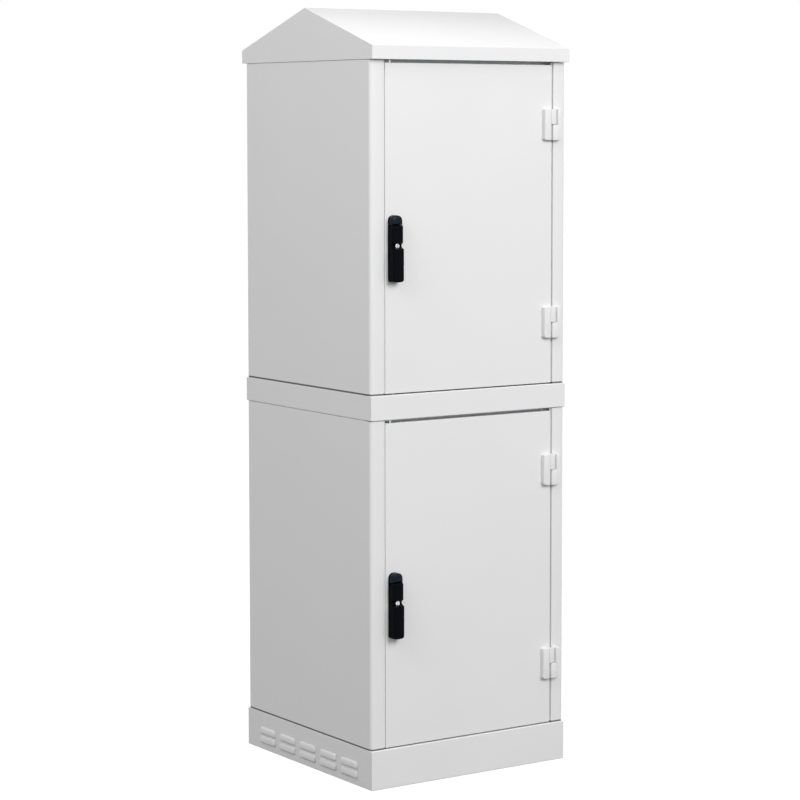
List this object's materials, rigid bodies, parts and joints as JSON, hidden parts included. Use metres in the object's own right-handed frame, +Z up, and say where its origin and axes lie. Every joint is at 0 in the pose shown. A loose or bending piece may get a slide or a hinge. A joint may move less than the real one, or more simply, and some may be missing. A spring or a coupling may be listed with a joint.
{
  "type": "roadside utility cabinet",
  "caption": "Tall light-grey roadside cabinet in two equal door tiers with swing handles, vented plinth, middle collar and gabled canopy.",
  "frame": {"origin": "centre of the rectangle of anchor holes, at ground level under the plinth", "axes": "+Z up, -Y out through the doors, +X to the right as seen from the front, where the door hinges are"},
  "size_m": [0.6092, 0.641, 1.9535],
  "materials": {
    "powder_coat": "fine powder coat, light grey, satin",
    "galvanised": "galvanised sheet, dull",
    "zinc_plate": "bright zinc plate",
    "stud_brass": "plain brass",
    "seal_rubber": "foamed rubber, matte",
    "handle_black": "black coated zinc casting, semi-gloss",
    "lock_chrome": "bright chrome"
  },
  "bodies": {
    "cabinet": {"plinth": "powder_coat", "tier_collar": "powder_coat", "roof_canopy": "powder_coat", "tier_bolts": "zinc_plate", "roof_bolts": "zinc_plate", "earth_studs": "stud_brass", "lower_shell": "powder_coat", "lower_floor": "galvanised", "lower_ceiling": "galvanised", "lower_gland_plate": "galvanised", "lower_rack_rail_left": "galvanised", "lower_rack_rail_right": "galvanised", "lower_rail_brackets_left": "galvanised", "lower_rail_brackets_right": "galvanised", "lower_hinge_post_leaves": "powder_coat", "upper_shell": "powder_coat", "upper_floor": "galvanised", "upper_ceiling": "galvanised", "upper_gland_plate": "galvanised", "upper_rack_rail_left": "galvanised", "upper_rack_rail_right": "galvanised", "upper_rail_brackets_left": "galvanised", "upper_rail_brackets_right": "galvanised", "upper_hinge_post_leaves": "powder_coat"},
    "lower_door": {"lower_door_panel": "powder_coat", "lower_door_gasket": "seal_rubber", "lower_door_stiffener": "powder_coat", "lower_hinge_door_leaves": "powder_coat", "lower_handle_base": "handle_black", "lower_rod_guides": "zinc_plate"},
    "lower_handle": {"lower_handle_rotor": "handle_black", "lower_latch_cam": "zinc_plate"},
    "lower_lever": {"lower_handle_lever": "handle_black"},
    "lower_lock": {"lower_lock_cylinder": "lock_chrome"},
    "lower_rod_up": {"lower_lock_rod_up": "zinc_plate"},
    "lower_rod_down": {"lower_lock_rod_down": "zinc_plate"},
    "upper_door": {"upper_door_panel": "powder_coat", "upper_door_gasket": "seal_rubber", "upper_door_stiffener": "powder_coat", "upper_hinge_door_leaves": "powder_coat", "upper_handle_base": "handle_black", "upper_rod_guides": "zinc_plate"},
    "upper_handle": {"upper_handle_rotor": "handle_black", "upper_latch_cam": "zinc_plate"},
    "upper_lever": {"upper_handle_lever": "handle_black"},
    "upper_lock": {"upper_lock_cylinder": "lock_chrome"},
    "upper_rod_up": {"upper_lock_rod_up": "zinc_plate"},
    "upper_rod_down": {"upper_lock_rod_down": "zinc_plate"}
  },
  "joints": [
    {"name": "lower_door_hinge", "type": "hinge", "parent": "cabinet", "child": "lower_door", "pos_m": [0.2585, -0.3064, 0.514], "axis": [0, 0, 1], "range_deg": [0, 120]},
    {"name": "lower_handle_turn", "type": "hinge", "parent": "lower_door", "child": "lower_handle", "pos_m": [-0.232, -0.3, 0.5295], "axis": [0, -1, 0], "range_deg": [0, 90]},
    {"name": "lower_lever_lift", "type": "hinge", "parent": "lower_handle", "child": "lower_lever", "pos_m": [-0.232, -0.314, 0.5095], "axis": [-1, 0, 0], "range_deg": [0, 35]},
    {"name": "lower_lock_turn", "type": "hinge", "parent": "lower_lever", "child": "lower_lock", "pos_m": [-0.232, -0.313, 0.47], "axis": [0, 1, 0], "range_deg": [0, 90]},
    {"name": "lower_rod_up_slide", "type": "slide", "parent": "lower_door", "child": "lower_rod_up", "axis": [0, 0, -1], "range_m": [0, 0.0213]},
    {"name": "lower_rod_down_slide", "type": "slide", "parent": "lower_door", "child": "lower_rod_down", "axis": [0, 0, 1], "range_m": [0, 0.0213]},
    {"name": "upper_door_hinge", "type": "hinge", "parent": "cabinet", "child": "upper_door", "pos_m": [0.2585, -0.3064, 1.4045], "axis": [0, 0, 1], "range_deg": [0, 120]},
    {"name": "upper_handle_turn", "type": "hinge", "parent": "upper_door", "child": "upper_handle", "pos_m": [-0.232, -0.3, 1.42], "axis": [0, -1, 0], "range_deg": [0, 90]},
    {"name": "upper_lever_lift", "type": "hinge", "parent": "upper_handle", "child": "upper_lever", "pos_m": [-0.232, -0.314, 1.4], "axis": [-1, 0, 0], "range_deg": [0, 35]},
    {"name": "upper_lock_turn", "type": "hinge", "parent": "upper_lever", "child": "upper_lock", "pos_m": [-0.232, -0.313, 1.3605], "axis": [0, 1, 0], "range_deg": [0, 90]},
    {"name": "upper_rod_up_slide", "type": "slide", "parent": "upper_door", "child": "upper_rod_up", "axis": [0, 0, -1], "range_m": [0, 0.0213]},
    {"name": "upper_rod_down_slide", "type": "slide", "parent": "upper_door", "child": "upper_rod_down", "axis": [0, 0, 1], "range_m": [0, 0.0213]}
  ],
  "couplings": [
    {"joint": "lower_rod_up_slide", "follows": "lower_handle_turn", "m_per_rad": 0.0135},
    {"joint": "lower_rod_down_slide", "follows": "lower_handle_turn", "m_per_rad": 0.0135},
    {"joint": "upper_rod_up_slide", "follows": "upper_handle_turn", "m_per_rad": 0.0135},
    {"joint": "upper_rod_down_slide", "follows": "upper_handle_turn", "m_per_rad": 0.0135}
  ]
}
